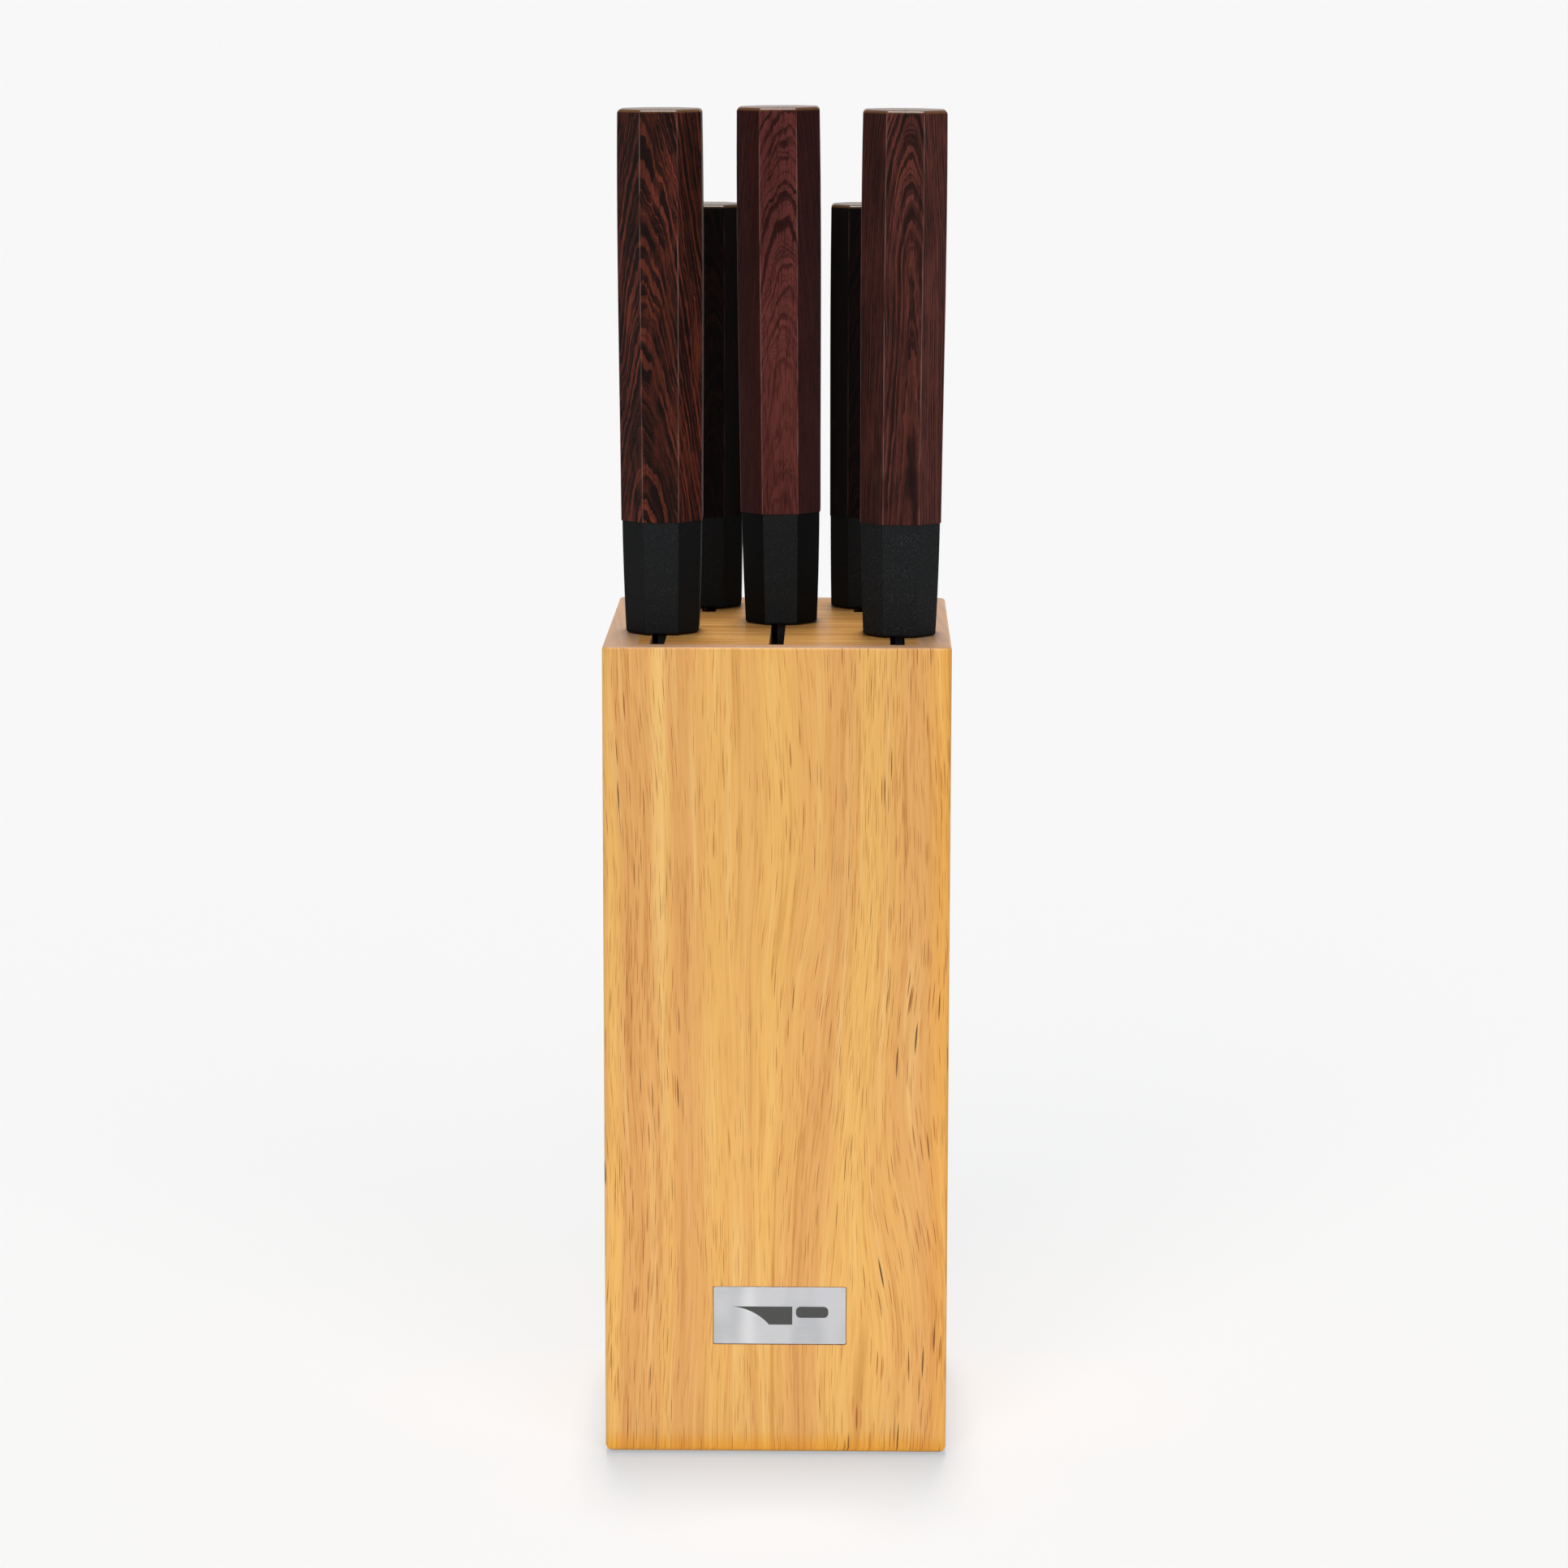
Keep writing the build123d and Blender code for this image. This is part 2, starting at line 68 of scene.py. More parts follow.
class Nodes:
    """A node tree, with short calls for the nodes that this script uses."""

    def __init__(self, tree):
        self.tree = tree

    def feed(self, socket, value):
        """Links an output socket, or sets a plain number, vector or colour."""
        if isinstance(value, bpy.types.NodeSocket):
            self.tree.links.new(value, socket)
        elif value is not None:
            socket.default_value = value

    def math(self, operation, a, b=None):
        node = self.tree.nodes.new("ShaderNodeMath")
        node.operation = operation
        for socket, value in zip(node.inputs, (a, b)):
            self.feed(socket, value)
        return node.outputs[0]

    def add(self, *terms):
        total = terms[0]
        for term in terms[1:]:
            total = self.math("ADD", total, term)
        return total

    def times(self, a, b):
        return self.math("MULTIPLY", a, b)

    def over(self, value, size):
        """A length counted in cells of this size."""
        return self.times(value, 1 / size)

    def size(self, value):
        """How large a number is, whatever its sign."""
        return self.math("ABSOLUTE", value)

    def blend(self, share, a, b):
        """The number a where share is 0, and b where it is 1."""
        return self.add(self.times(share, self.math("SUBTRACT", b, a)), a)

    def axes(self, kind):
        """The x, y and z of one kind of texture coordinate."""
        place = self.tree.nodes.new("ShaderNodeTexCoord")
        split = self.tree.nodes.new("ShaderNodeSeparateXYZ")
        self.tree.links.new(place.outputs[kind], split.inputs[0])
        return split.outputs

    def coordinates(self):
        """The point on the surface in the row frame, in millimetres, as x, y and z."""
        return [self.times(axis, MM) for axis in self.axes("Object")]

    def normal(self):
        """The surface's own direction, as x, y and z."""
        return self.axes("Normal")

    def point(self, x, y, z=0.0):
        node = self.tree.nodes.new("ShaderNodeCombineXYZ")
        for socket, value in zip(node.inputs, (x, y, z)):
            self.feed(socket, value)
        return node.outputs[0]

    def noise(self, vector, detail=2.0, rough=0.5, scale=1.0):
        """Smooth noise from 0 to 1 at a point in noise cells."""
        node = self.tree.nodes.new("ShaderNodeTexNoise")
        node.noise_dimensions = "3D"
        node.inputs["Scale"].default_value = scale
        node.inputs["Detail"].default_value = detail
        node.inputs["Roughness"].default_value = rough
        self.feed(node.inputs["Vector"], vector)
        return node.outputs[0]

    def lumps(self, place, width, length, seed, detail=1.0, rough=0.5):
        """Noise in lumps of this width in x and y, and of this length in z."""
        x, y, z = place
        along = self.add(self.over(z, length), seed)
        return self.noise(self.point(self.over(x, width), self.over(y, width), along), detail, rough)

    def bands(self, value, detail=2.0, rough=0.5):
        """Noise along one number: bands of uneven width."""
        node = self.tree.nodes.new("ShaderNodeTexNoise")
        node.noise_dimensions = "1D"
        node.inputs["Scale"].default_value = 1.0
        node.inputs["Detail"].default_value = detail
        node.inputs["Roughness"].default_value = rough
        self.feed(node.inputs["W"], value)
        return node.outputs[0]

    def cells(self, x, y):
        """Distance to the nearest of some scattered points, and that point's random number."""
        node = self.tree.nodes.new("ShaderNodeTexVoronoi")
        node.voronoi_dimensions = "2D"
        node.inputs["Scale"].default_value = 1.0
        self.feed(node.inputs["Vector"], self.point(x, y))
        split = self.tree.nodes.new("ShaderNodeSeparateColor")
        self.tree.links.new(node.outputs["Color"], split.inputs[0])
        return node.outputs["Distance"], split.outputs[0]

    def ramp(self, value, low, high, out_low=0.0, out_high=1.0):
        """A smooth step from out_low at low to out_high at high."""
        node = self.tree.nodes.new("ShaderNodeMapRange")
        node.interpolation_type = "SMOOTHSTEP"
        for socket, number in zip(node.inputs, (value, low, high, out_low, out_high)):
            self.feed(socket, number)
        return node.outputs[0]

    def between(self, value, start, full, fade, end):
        """1 from full to fade, and 0 before start and after end."""
        return self.times(self.ramp(value, start, full), self.ramp(value, fade, end, 1.0, 0.0))

    def hump(self, value, middle, width):
        """A bell curve, 1 at the middle."""
        off = self.over(self.add(value, -middle), width)
        return self.math("POWER", math.e, self.times(self.times(off, off), -1.0))

    def mix(self, share, a, b, mode="MIX"):
        """Colour a where share is 0, and colour b where it is 1."""
        node = self.tree.nodes.new("ShaderNodeMix")
        node.data_type = "RGBA"
        node.blend_type = mode
        # The node has sockets of the same names for each data type. These are the colour's.
        factor, first, second, result = node.inputs[0], node.inputs[6], node.inputs[7], node.outputs[2]
        self.feed(factor, share)
        self.feed(first, a)
        self.feed(second, b)
        return result

    def tinted(self, share, base, tint):
        """The base colour, with this share of it multiplied by the tint."""
        return self.mix(share, base, self.mix(1.0, base, tint, "MULTIPLY"))

    def bump(self, height, depth, normal=None):
        """Relief of the given depth in mm where height goes from 0 to 1."""
        node = self.tree.nodes.new("ShaderNodeBump")
        node.inputs["Strength"].default_value = 1.0
        node.inputs["Distance"].default_value = depth / MM
        self.feed(node.inputs["Height"], height)
        self.feed(node.inputs["Normal"], normal)
        return node.outputs[0]


class Surface(Nodes):
    """A new material's node tree, with one surface shader."""

    def __init__(self, name):
        self.material = bpy.data.materials.new(name)
        self.material.use_nodes = True
        super().__init__(self.material.node_tree)
        self.tree.nodes.clear()
        output = self.tree.nodes.new("ShaderNodeOutputMaterial")
        self.shader = self.tree.nodes.new("ShaderNodeBsdfPrincipled")
        self.tree.links.new(self.shader.outputs[0], output.inputs["Surface"])

    def set(self, **values):
        """Sets or links the shader's inputs, named with underscores for spaces."""
        for name, value in values.items():
            self.feed(self.shader.inputs[name.replace("_", " ")], value)


def colour(red, green, blue):
    """A colour picked as it looks on screen, from 0 to 255, in the shader's linear values."""
    linear = []
    for value in (red, green, blue):
        part = value / 255.0
        linear.append(part / 12.92 if part <= 0.04045 else ((part + 0.055) / 1.055) ** 2.4)
    return (*linear, 1.0)


# ------------------------------------------------------------------ pale wood

# Tones of each kind of pale wood: light, tan, dark streaks, and end grain.
PINK_END = colour(184, 147, 120)
HONEY = (colour(238, 183, 101), colour(227, 167, 97), colour(191, 127, 58), PINK_END)
# The top plate's tones are darker than the boards' partly as painted shade, for the shade of the
# handles above it.
GOLDEN = (colour(206, 151, 78), colour(191, 134, 69), colour(147, 95, 45), PINK_END)
BEECH = (colour(226, 196, 150), colour(214, 180, 132), colour(184, 142, 94), colour(196, 160, 118))
SUNNY = colour(246, 204, 132)
PALE_STREAK = colour(250, 208, 130)
SHADE = colour(248, 248, 246)
AMBER = colour(255, 232, 140)

# The figure of the front board, in mm from its middle and from the floor.
LEAN_MIDDLE, LEAN_WIDTH, LEAN_HEIGHTS, LEAN_SHIFT = 14.0, 22.0, (60.0, 190.0), 5.5
ARCH_MIDDLE, ARCH_WIDTH, ARCH_HEIGHTS, ARCH_SPREAD = 23.0, 14.0, (25.0, 110.0), 0.45
STREAK_X, STREAK_CORE, STREAK_EDGE, STREAK_HEIGHTS = -32.0, 0.6, 3.2, (105.0, 165.0)
SHADE_HEIGHTS = (50.0, 190.0)
QUIET_LEFT, QUIET_RIGHT = (-22.0, -34.0), (6.0, 28.0)  # few pores between these
AMBER_FOOT, AMBER_RIGHT = (2.0, 9.0), (40.0, 46.5)

# Open pores: spacing across and along the grain, size in those cells, how crowded the place
# has to be, a shift that keeps the sets apart, tone, and strength.
PORES = (
    (0.52, 24.0, 0.17, 0.50, 0.0, colour(192, 106, 40), 0.50),
    (0.80, 38.0, 0.13, 0.62, 5.3, colour(156, 74, 24), 0.76),
    (1.7, 60.0, 0.085, 0.74, 8.1, colour(104, 48, 16), 0.86),
    (4.0, 105.0, 0.055, 0.82, 2.7, colour(46, 27, 15), 0.90),
)


def grain_path(g, u, v, w, seed, on_front):
    """Where across the board a line of grain belongs. It stays the same along one line.

    u is across the grain, w along it, and v into the board.
    """
    slow = g.noise(g.point(g.over(u, 75.0), g.over(w, 170.0), g.add(g.times(v, 0.02), seed)), 1.0)
    quick = g.noise(g.point(g.over(u, 17.0), g.over(w, 75.0), g.add(g.times(v, 0.03), seed + 9)), 1.0)
    path = g.add(u, g.times(v, 0.6), g.times(slow, 22.0), g.times(quick, 3.5), seed * 37.0)
    if on_front:
        # The grain leans to the right in the middle of the front, and spreads out like a
        # tall arch lower down on the right.
        near_lean = g.hump(u, LEAN_MIDDLE, LEAN_WIDTH)
        lean = g.times(near_lean, g.ramp(w, *LEAN_HEIGHTS, LEAN_SHIFT, -LEAN_SHIFT))
        off_arch = g.times(g.add(u, -ARCH_MIDDLE), g.hump(u, ARCH_MIDDLE, ARCH_WIDTH))
        arch = g.times(off_arch, g.ramp(w, *ARCH_HEIGHTS, -ARCH_SPREAD, ARCH_SPREAD))
        path = g.add(path, lean, arch)
    return path


def open_pores(g, base, path, u, w, seed, share, on_front):
    """Short thin dashes, thicker in some places than in others. Gives the colour and the pores."""
    crowd = g.noise(g.point(g.over(path, 15.0), g.over(w, 75.0), seed + 2), 1.0)
    if on_front:
        sides = g.math("MAXIMUM", g.ramp(u, *QUIET_LEFT), g.ramp(u, *QUIET_RIGHT))
        crowd = g.add(g.times(crowd, 0.72), g.times(sides, 0.34))
    pores = 0.0
    for spacing, length, size, least, shift, tone, weight in PORES:
        across = g.add(g.over(path, spacing), shift)
        along = g.add(g.over(w, length), seed + shift)
        distance, chance = g.cells(across, along)
        dash = g.ramp(distance, size * 0.45, size, 1.0, 0.0)
        open_here = g.ramp(g.add(g.times(chance, 0.6), g.times(crowd, 0.9)), least, least + 0.30)
        mark = g.times(g.times(dash, open_here), share)
        base = g.mix(g.times(mark, weight), base, tone)
        pores = g.math("MAXIMUM", mark, pores)
    return base, pores


def end_grain(g, u, v, seed, tan, streak, end_tone):
    """Across the grain the wood shows its end: darker, with round pores and faint rings."""
    dots, _ = g.cells(g.over(u, 0.8), g.over(v, 0.8))
    ends = g.mix(g.ramp(dots, 0.12, 0.30, 0.35, 0.0), end_tone, streak)
    rings = g.bands(g.add(g.over(v, 1.6), g.times(u, 0.05), seed), 2.0)
    return g.mix(g.ramp(rings, 0.35, 0.7, 0.0, 0.35), ends, tan)


def light_wood(name, along, across, seed, tones, pore_share=1.0, on_front=False):
    """Lacquered rubberwood. along and across are the axes of the grain on the board's face."""
    g = Surface(name)
    axes = dict(zip("xyz", g.coordinates()))
    through = [a for a in "xyz" if a not in (along, across)][0]
    w, u, v = axes[along], axes[across], axes[through]
    honey, tan, streak, end_tone = tones

    path = grain_path(g, u, v, w, seed, on_front)
    broad = g.bands(g.over(path, 13.0), 1.0)
    middle = g.noise(g.point(g.over(path, 1.9), g.over(w, 85.0), seed), 2.0, 0.6)
    fibre = g.noise(g.point(g.over(path, 0.34), g.over(w, 26.0), seed), 2.0, 0.65)
    base = g.mix(g.ramp(broad, 0.36, 0.64), honey, tan)
    base = g.mix(g.ramp(middle, 0.50, 0.78, 0.0, 0.55), base, SUNNY)
    base = g.mix(g.ramp(middle, 0.46, 0.24, 0.0, 0.55), base, streak)
    base = g.mix(g.ramp(fibre, 0.44, 0.72, 0.0, 0.34), base, streak)
    if on_front:
        # A pale streak in the upper left, and the board is a shade darker towards its top.
        near = g.ramp(g.size(g.add(u, -STREAK_X)), STREAK_CORE, STREAK_EDGE, 1.0, 0.0)
        base = g.mix(g.times(g.times(near, g.ramp(w, *STREAK_HEIGHTS)), 0.5), base, PALE_STREAK)
        base = g.tinted(g.ramp(w, *SHADE_HEIGHTS), base, SHADE)

    base, pores = open_pores(g, base, path, u, w, seed, pore_share, on_front)
    end_face = g.ramp(g.size(g.normal()["xyz".index(along)]), 0.55, 0.85)
    base = g.mix(end_face, base, end_grain(g, u, v, seed, tan, streak, end_tone))
    if on_front:
        # The lacquer is thicker, and so more amber, along the foot and the right edge.
        foot = g.ramp(w, *AMBER_FOOT, 0.9, 0.0)
        base = g.tinted(g.math("MAXIMUM", foot, g.ramp(u, *AMBER_RIGHT, 0.0, 0.45)), base, AMBER)

    g.set(
        Base_Color=base,
        Roughness=g.ramp(fibre, 0.2, 0.8, 0.42, 0.55),
        Specular_IOR_Level=0.2,
        Coat_Weight=0.08,
        Coat_Roughness=0.25,
        Normal=g.bump(g.times(pores, -1.0), 0.05, g.bump(fibre, 0.012)),
    )
    return g.material


# ------------------------------------------------------------------ rosewood

# Each handle is its own piece of timber. Lengths in mm.
ROSEWOOD = {
    "seed": 1.0,
    "apex": 0.0,  # middle of the arches, from the handle's middle
    "turn": 0.0,  # degrees that the arches face to the left
    "sway": 5.0,  # how far the arches' middle wanders to either side
    "arch_width": 4.0,
    "steepness": 6.0,  # of the arches' legs
    "side_slope": 6.5,  # of the lines on the sides
    "straight_below": 0.0,  # height under which the arches are drawn out,
    "drawn_out": 1.0,  # and the share of the rings that is left there
    "wander": 20.0,  # slow, middling and fine unevenness of the rings
    "ripple": 6.5,
    "jagged": 2.2,
    "ring": 3.4,  # thickness of a ring along the handle
    "dark_share": 0.49,
    "contrast": 0.95,
    "fade": (0.0, 1.0, 0.0),  # heights between which the veins come in, and their share below
    "hairs": 0.5,  # strength of the fine lines
    # painted shade on the side facets, and on the left facets alone, from the neighbouring handles
    "painted_side_shade": 0.0,
    "painted_left_shade": 0.0,
    "corner_highlight": 0.32,  # strength of the pale painted highlight on the rounded corners
    "tones": (colour(100, 45, 32), colour(76, 33, 22), colour(15, 8, 7)),
    "speckle": 0.22,  # these two are of the collar; the second is painted shade on its side facets
    "painted_collar_shade": 0.5,
}
# Painted shade: darker copies of the rosewood tones for the rear handles, which the front handles
# shade.
SHADED = (colour(32, 13, 9), colour(22, 9, 7), colour(5, 3, 3))
HANDLE_LOOKS = {
    "left_front": {
        "seed": 2.3, "apex": -4.4, "turn": 22.0, "steepness": 3.6, "arch_width": 5.0, "side_slope": 4.0,
        "ring": 4.8, "dark_share": 0.50, "sway": 3.0, "ripple": 10.0, "wander": 26.0,
    },
    "center_front": {
        "seed": 4.1, "apex": 1.2, "steepness": 4.0, "dark_share": 0.44, "contrast": 0.85, "hairs": 0.35,
        "straight_below": 300.0, "drawn_out": 0.5, "fade": (275.0, 350.0, 0.30), "jagged": 3.5,
        "painted_side_shade": 0.70, "painted_collar_shade": 1.0,
        "tones": (colour(101, 49, 44), colour(87, 40, 36), colour(26, 6, 4)),
    },
    "right_front": {
        "seed": 5.7, "apex": 1.8, "arch_width": 3.4, "steepness": 6.0, "side_slope": 9.0, "sway": 2.0,
        "straight_below": 335.0, "drawn_out": 0.25, "ring": 4.6, "dark_share": 0.48, "contrast": 0.85,
        "speckle": 0.42, "painted_collar_shade": 0.1, "painted_left_shade": 0.35,
        "tones": (colour(96, 48, 40), colour(78, 38, 31), colour(20, 12, 11)),
    },
    "left_rear": {"seed": 7.9, "corner_highlight": 0.15, "tones": SHADED},
    "right_rear": {"seed": 9.4, "corner_highlight": 0.15, "tones": SHADED},
}
# Pale painted highlight on the rounded corners between the facets.
PAINTED_CORNER_HIGHLIGHT = colour(150, 118, 112)
# Golden-brown painted highlight on the butt's upward faces, as the overhead light shows them.
BUTT_TOP_HIGHLIGHT = colour(118, 84, 52)

# An octagonal handle's facets face 0, 45 or 90 degrees from the front, so their normals' x is
# 0, 0.71 or 1 in size. These are the rounded corners between the facets, and the oblique facets.
FIRST_CORNER = (0.08, 0.20, 0.55, 0.66)
SECOND_CORNER = (0.76, 0.84, 0.93, 0.985)
OBLIQUE = (0.30, 0.60)


def ring_height(g, place, middle, front, look, ripple, fibre):
    """Which ring of the tree a point is in, in mm along the handle.

    middle is the x of the handle's middle, and front the y of its front facet, in mm.
    """
    x, y, z = place
    wander = g.lumps(place, 14.0, 60.0, look["seed"])
    sway = g.math("SUBTRACT", g.bands(g.add(g.over(z, 45.0), look["seed"]), 1.0), 0.5)
    beside = g.add(x, -(middle + look["apex"]), g.times(sway, look["sway"]))
    behind = g.add(y, -front)
    turn = math.radians(look["turn"])
    off = g.add(g.times(beside, math.cos(turn)), g.times(behind, -math.sin(turn)))
    depth = g.add(g.times(behind, math.cos(turn)), g.times(beside, math.sin(turn)))
    squeeze = g.over(off, look["arch_width"])
    arch = g.math("SQRT", g.add(g.times(squeeze, squeeze), 1.0))
    # Below straight_below the arches are drawn out into nearly straight lines.
    from_change = g.add(z, -look["straight_below"])
    return g.add(
        g.math("MAXIMUM", from_change, 0.0),
        g.times(g.math("MINIMUM", from_change, 0.0), look["drawn_out"]),
        g.times(arch, look["steepness"] * look["arch_width"]),
        g.times(depth, look["side_slope"]),
        g.times(wander, look["wander"]),
        g.times(ripple, look["ripple"]),
        g.times(fibre, look["jagged"]),
    )


def dark_wood(name, middle, front, look):
    """Lacquered rosewood. Its rings show as arches on the front and as steep lines on the sides."""
    g = Surface(name)
    place = g.coordinates()
    x, y, z = place
    seed = look["seed"]
    red, brown, black = look["tones"]
    ripple = g.lumps(place, 2.8, 11.0, seed, 2.0)
    fibre = g.lumps(place, 0.40, 6.5, seed, 2.0, 0.6)
    blotch = g.lumps(place, 7.0, 32.0, seed + 3)
    patchy = g.lumps(place, 4.0, 13.0, seed + 6, 2.0)
    height = ring_height(g, place, middle, front, look, ripple, fibre)
    ring = g.add(g.over(height, look["ring"]), seed * 3.1)
    veins = g.bands(ring, 3.0, 0.62)
    hairs = g.bands(g.times(ring, 2.7), 2.0, 0.6)

    base = g.mix(g.ramp(blotch, 0.35, 0.65), red, brown)
    base = g.mix(g.ramp(fibre, 0.44, 0.72, 0.0, 0.62), base, black)
    base = g.mix(g.ramp(hairs, 0.45, 0.36, 0.0, look["hairs"]), base, black)
    # The dark veins come and go along the handle.
    full = g.ramp(z, *look["fade"], look["contrast"])
    strength = g.times(full, g.ramp(patchy, 0.34, 0.54, 0.45, 1.0))
    vein = g.ramp(veins, look["dark_share"] + 0.08, look["dark_share"] - 0.03)
    base = g.mix(g.times(vein, strength), base, black)
    distance, chance = g.cells(g.over(g.add(x, g.times(y, 0.37)), 0.5), g.over(z, 9.0))
    pore = g.times(g.ramp(distance, 0.06, 0.17, 1.0, 0.0), g.ramp(chance, 0.35, 0.9))
    base = g.mix(g.times(pore, 0.55), base, black)

    # Painted shade darkens the side facets of some handles and the left facets of another, where the
    # neighbouring handles shade them. The rounded corners get a pale painted highlight, and the butt's
    # upward faces a golden-brown painted highlight.
    direction = g.normal()
    sideways = g.size(direction[0])
    base = g.mix(g.ramp(sideways, *OBLIQUE, 0.0, look["painted_side_shade"]), base, black)
    base = g.mix(g.ramp(g.times(direction[0], -1.0), *OBLIQUE, 0.0, look["painted_left_shade"]), base, black)
    corners = g.add(g.between(sideways, *FIRST_CORNER), g.between(sideways, *SECOND_CORNER))
    upright = g.ramp(g.size(direction[2]), 0.1, 0.3, 1.0, 0.0)
    corner_highlight = g.times(g.times(corners, upright), g.ramp(ripple, 0.30, 0.62, 0.15, 1.0))
    base = g.mix(g.times(corner_highlight, look["corner_highlight"]), base, PAINTED_CORNER_HIGHLIGHT)
    # Painted highlight: the butt's upward faces are painted golden brown.
    base = g.mix(g.times(g.ramp(direction[2], 0.15, 0.6), 0.5), base, BUTT_TOP_HIGHLIGHT)
    g.set(
        Base_Color=base,
        Roughness=g.ramp(fibre, 0.3, 0.7, 0.36, 0.48),
        Specular_IOR_Level=0.05,
        Coat_Weight=g.ramp(direction[2], 0.5, 0.98, 0.02, 0.7),
        Coat_Roughness=0.34,
        Coat_IOR=1.6,
        Normal=g.bump(g.times(pore, -1.0), 0.02, g.bump(fibre, 0.008)),
    )
    return g.material


# ------------------------------------------------------------------ other materials

PLATE_REFLECTION_X, PLATE_REFLECTION_WIDTH = -7.5, 2.2  # painted reflection: a soft bright band on the name plate, in mm


def textured_black(name, look):
    """Moulded collar: matt black with the fine speckle of a spark-eroded mould."""
    g = Surface(name)
    x, y, z = g.coordinates()
    grain = g.noise(g.point(x, y, z), 2.0, 0.7, scale=2.6)
    fleck = g.noise(g.point(x, y, z), 1.0, 0.5, scale=5.2)
    base = g.mix(g.ramp(grain, 0.35, 0.7), colour(22, 23, 24), colour(29.7, 31.05, 32.4))
    base = g.mix(g.ramp(fleck, 0.60, 0.74, 0.0, look["speckle"]), base, colour(92, 96, 100))
    # Painted shade on the side facets, where the neighbouring handles shade the collar.
    sideways = g.size(g.normal()[0])
    base = g.mix(g.ramp(sideways, *OBLIQUE, 0.0, look["painted_collar_shade"]), base, colour(3, 3, 3))
    g.set(
        Base_Color=base,
        Roughness=g.ramp(grain, 0.3, 0.7, 0.46, 0.62),
        Specular_IOR_Level=0.06,
        Normal=g.bump(grain, 0.05, g.bump(fleck, 0.02)),
    )
    return g.material


def coated_steel():
    """Blade: black non-stick coating, and bare ground steel on the bevels of the edge."""
    g = Surface("coated_steel")
    x, y, z = g.coordinates()
    # The bevels face a little away from the blade's flat sides.
    bare = g.between(g.size(g.normal()[0]), 0.90, 0.95, 0.992, 0.997)
    grind = g.noise(g.point(x, g.times(y, 0.25), g.times(z, 5.5)), 3.0, 0.6)
    orange_peel = g.noise(g.point(x, y, z), 2.0, 0.5, scale=0.9)
    coat = g.mix(orange_peel, colour(22, 23, 26), colour(34, 36, 40))
    steel = g.mix(grind, colour(150, 152, 156), colour(205, 207, 210))
    g.set(
        Base_Color=g.mix(bare, coat, steel),
        Metallic=bare,
        Roughness=g.blend(bare, 0.188, g.blend(grind, 0.156, 0.376)),
        Specular_IOR_Level=0.5,
        Normal=g.bump(orange_peel, 0.012),
    )
    return g.material


def brushed_metal():
    """Name plate: brushed from side to side, with a painted reflection in a soft bright band and
    painted highlights on its edges.
    """
    g = Surface("brushed_metal")
    x, y, z = g.coordinates()
    brush = g.noise(g.point(g.over(x, 9.0), y, g.times(z, 9.0)), 3.0, 0.65)
    patch = g.noise(g.point(g.over(x, 9.0), y, g.over(z, 14.0)), 1.0)
    base = g.mix(brush, colour(176, 178, 182), colour(208, 210, 213))
    base = g.mix(g.ramp(patch, 0.35, 0.65, 0.0, 0.5), base, colour(222, 222, 224))
    # Painted reflection: a soft bright band across the plate.
    base = g.mix(g.times(g.hump(x, PLATE_REFLECTION_X, PLATE_REFLECTION_WIDTH), 0.6), base, colour(234, 235, 236))
    # Painted highlight: the edges are painted near-white.
    base = g.mix(g.ramp(g.size(g.normal()[1]), 0.95, 0.85), base, colour(246, 248, 250))
    g.set(
        Base_Color=base,
        Metallic=0.75,
        Roughness=g.ramp(brush, 0.3, 0.7, 0.34, 0.50),
        Normal=g.bump(brush, 0.006),
    )
    return g.material


def dull(name, scale, detail, rough, tones, gloss, relief):
    """A dull material with fine cloudy noise in its colour, roughness and surface."""
    g = Surface(name)
    cloud = g.noise(g.point(*g.coordinates()), detail, rough, scale)
    g.set(
        Base_Color=g.mix(cloud, *tones),
        Roughness=g.ramp(cloud, 0.3, 0.7, *gloss),
        Normal=g.bump(cloud, relief),
    )
    return g.material


def assign(material, *nodes):
    """Puts a material on every slot of these CAD nodes."""
    for name in nodes:
        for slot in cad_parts[name].material_slots:
            slot.material = material


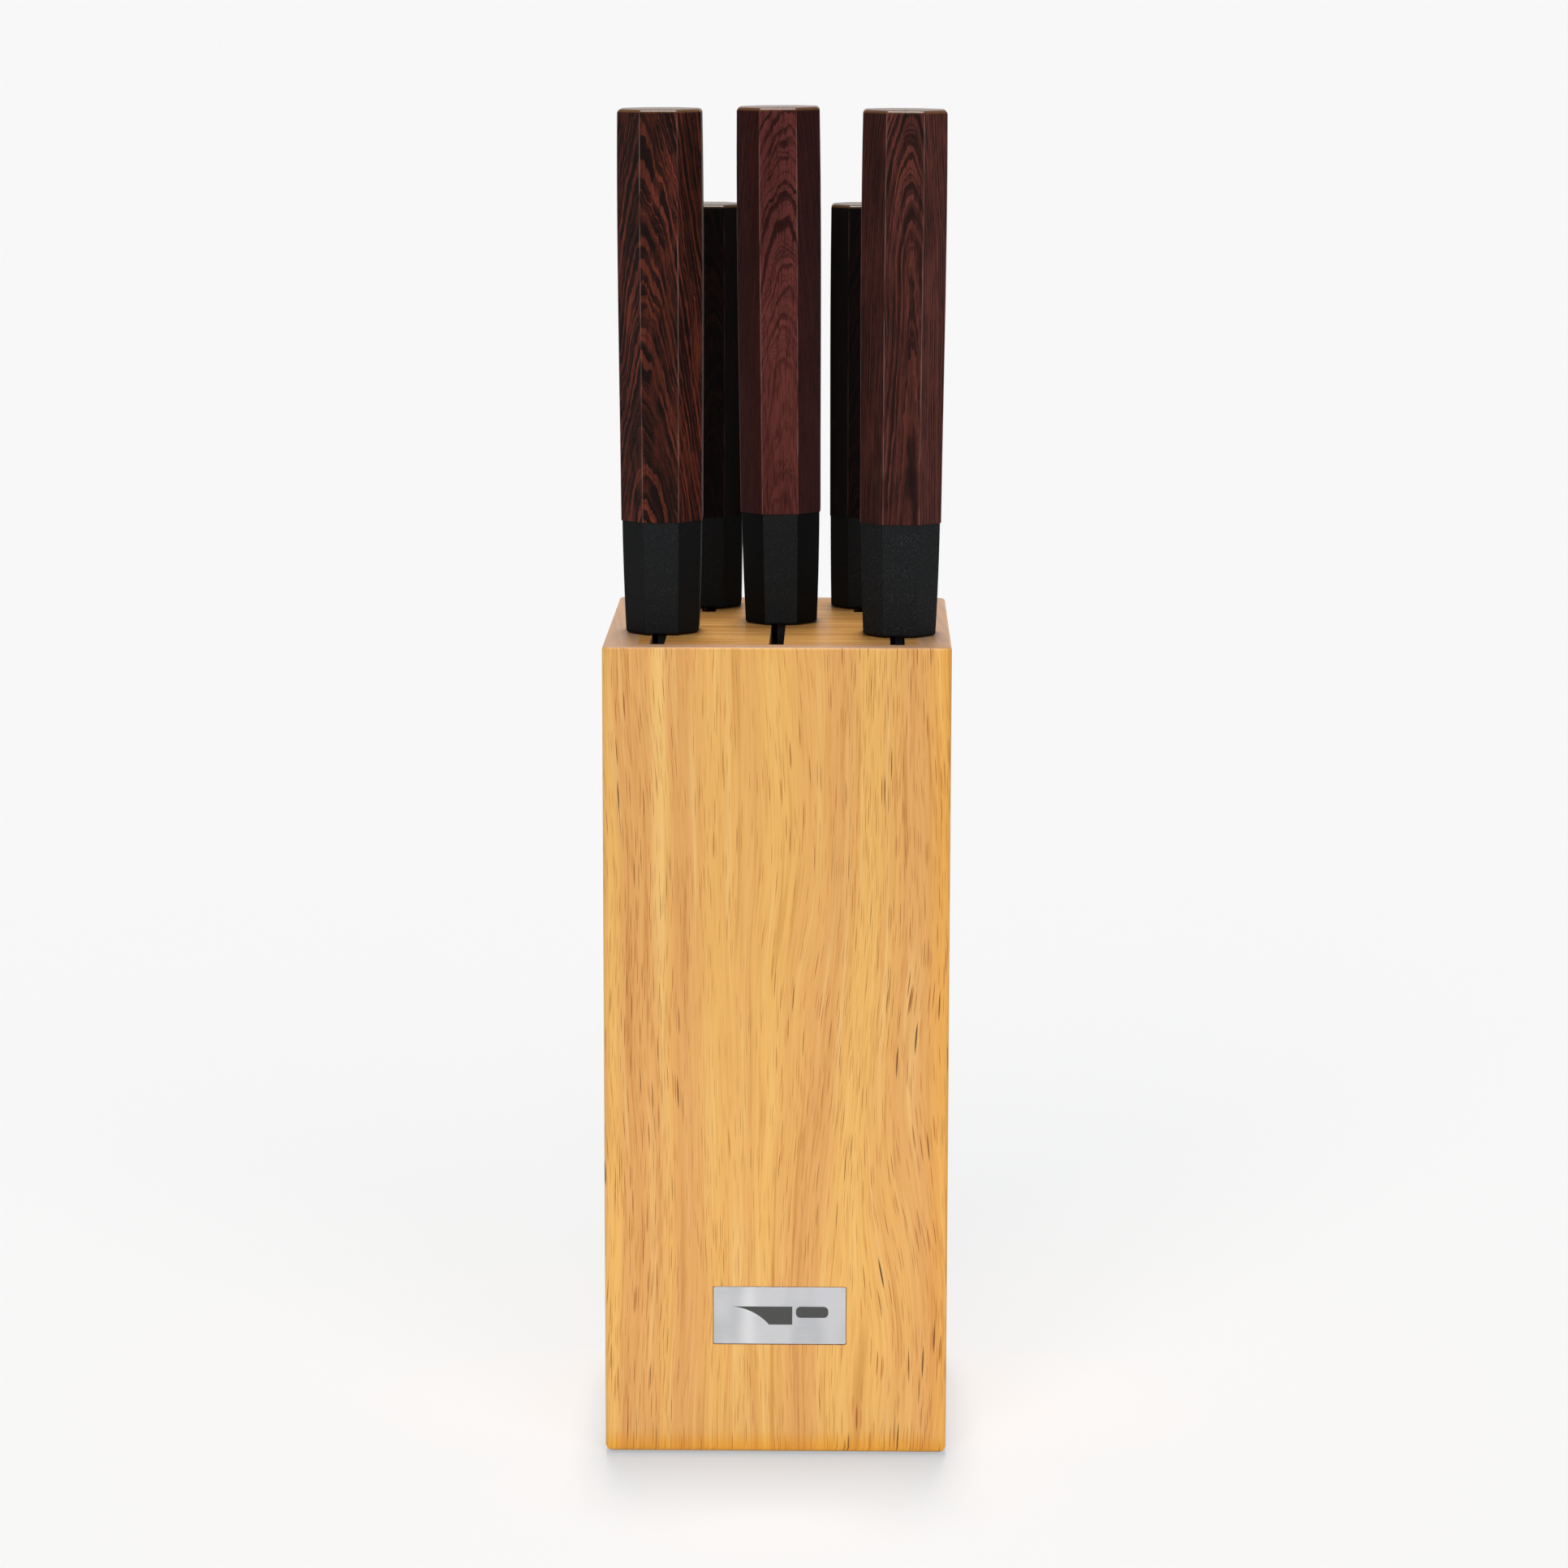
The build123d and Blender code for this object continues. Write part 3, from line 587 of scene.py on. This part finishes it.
def dress():
    """Gives every CAD node its material."""
    assign(light_wood("front_board_wood", "z", "x", 1.7, HONEY, 1.0, True), "front_board")
    assign(light_wood("back_board_wood", "z", "x", 7.3, HONEY), "back_board")
    assign(light_wood("left_side_wood", "z", "y", 3.9, HONEY), "left_side_board")
    assign(light_wood("right_side_wood", "z", "y", 5.1, HONEY), "right_side_board")
    assign(light_wood("top_plate_wood", "x", "y", 2.6, GOLDEN, 0.6), "slotted_top_plate")
    assign(light_wood("inner_wood", "x", "y", 8.8, BEECH, 0.8), "blade_guide", "base_board")
    assign(light_wood("beech", "x", "y", 6.2, BEECH, 0.5), "wooden_dowels")
    assign(brushed_metal(), "name_plate")
    dark_fill = (colour(56, 58, 56), colour(74, 76, 73))
    assign(dull("enamel", 1.8, 2.0, 0.5, dark_fill, (0.45, 0.6), 0.01), "name_inlay")
    foam_white = (colour(205, 203, 196), colour(232, 230, 224))
    assign(dull("foam_tape", 3.0, 2.0, 0.7, foam_white, (0.85, 0.85), 0.04), "adhesive_pad")
    dusty_black = (colour(26, 26, 27), colour(48, 47, 46))
    feet = [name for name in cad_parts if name.startswith("foot_")]
    assign(dull("rubber", 1.5, 3.0, 0.6, dusty_black, (0.75, 0.9), 0.03), *feet)
    assign(coated_steel(), *[knife + "_blade" for knife in KNIVES])
    for knife in KNIVES:
        look = {**ROSEWOOD, **HANDLE_LOOKS[knife]}
        halves = [knife + "_handle_left_half", knife + "_handle_right_half"]
        # The halves meet in the handle's middle.
        low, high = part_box(halves[0])
        assign(dark_wood(knife + "_rosewood", MM * high.x, MM * low.y, look), *halves)
        assign(textured_black(knife + "_collar_black", look), knife + "_collar")


# ------------------------------------------------------------------ stage


def new_object(name, data):
    """Adds an object with this data to the scene."""
    obj = bpy.data.objects.new(name, data)
    bpy.context.scene.collection.objects.link(obj)
    return obj


def floor():
    """A pale seamless floor that fills the view. It glows a little, as a lit light table does."""
    half = FLOOR_HALF_WIDTH
    corners = [(-half, -half, 0), (half, -half, 0), (half, half, 0), (-half, half, 0)]
    mesh = bpy.data.meshes.new("floor")
    mesh.from_pydata(corners, [], [(0, 1, 2, 3)])
    g = Surface("floor_paint")
    g.set(
        Base_Color=FLOOR_PAINT,
        Roughness=0.9,
        Specular_IOR_Level=0.0,
        Emission_Color=FLOOR_GLOW,
        Emission_Strength=1.0,
    )
    mesh.materials.append(g.material)
    piece = new_object("floor", mesh)


def sun(name, azimuth, elevation, strength, width):
    """A distant soft light. Azimuth 0 shines from the front, and positive ones from the right."""
    data = bpy.data.lights.new(name, "SUN")
    data.energy = strength
    data.angle = math.radians(width)
    a, e = math.radians(azimuth), math.radians(elevation)
    towards = Vector((math.sin(a) * math.cos(e), -math.cos(a) * math.cos(e), math.sin(e)))
    lamp = new_object(name, data)
    lamp.rotation_euler = towards.to_track_quat("Z", "Y").to_euler()


def surroundings():
    """A studio that is dim overhead and in front, with a bright white wall behind.

    A narrow band just above the floor is as bright as the floor, so that no horizon shows.
    """
    world = bpy.data.worlds.new("studio")
    bpy.context.scene.world = world
    world.use_nodes = True
    g = Nodes(world.node_tree)
    _, back, up = g.axes("Generated")
    wall = g.times(g.ramp(up, 0.40, 0.20), g.ramp(back, 0.0, 0.5))
    brightness = g.blend(wall, STUDIO_DIM, STUDIO_WALL)
    background = world.node_tree.nodes["Background"]
    background.inputs["Color"].default_value = (1.0, 1.0, 1.0, 1.0)
    g.feed(background.inputs["Strength"], g.blend(g.ramp(up, 0.12, 0.05), brightness, STUDIO_HORIZON))


def camera():
    """A long-lens camera in front of the block, looking slightly down."""
    data = bpy.data.cameras.new("camera")
    data.lens = LENS_MM
    data.sensor_width = SENSOR_MM
    data.clip_start = CLIP_NEAR
    data.clip_end = CLIP_FAR
    yaw, pitch, roll = CAMERA_YAW, CAMERA_PITCH, CAMERA_ROLL
    ahead = Vector((math.sin(yaw) * math.cos(pitch), math.cos(yaw) * math.cos(pitch), -math.sin(pitch)))
    level_right = Vector((math.cos(yaw), -math.sin(yaw), 0.0))
    level_up = level_right.cross(ahead)
    right = math.cos(roll) * level_right + math.sin(roll) * level_up
    up = -math.sin(roll) * level_right + math.cos(roll) * level_up
    basis = Matrix((right, up, -ahead)).transposed().to_4x4()
    basis.translation = AIM - CAMERA_DISTANCE * ahead
    obj = new_object("camera", data)
    obj.matrix_world = basis
    bpy.context.scene.camera = obj


camera()
dress()
floor()
surroundings()
sun("key", *KEY_LIGHT)
sun("fill", *FILL_LIGHT)
for elevation in STRIP_ELEVATIONS:
    sun(f"strip_{elevation:.0f}", STRIP_AZIMUTH, elevation, STRIP_STRENGTH, STRIP_WIDTH)
bpy.context.scene.view_settings.view_transform = "Standard"
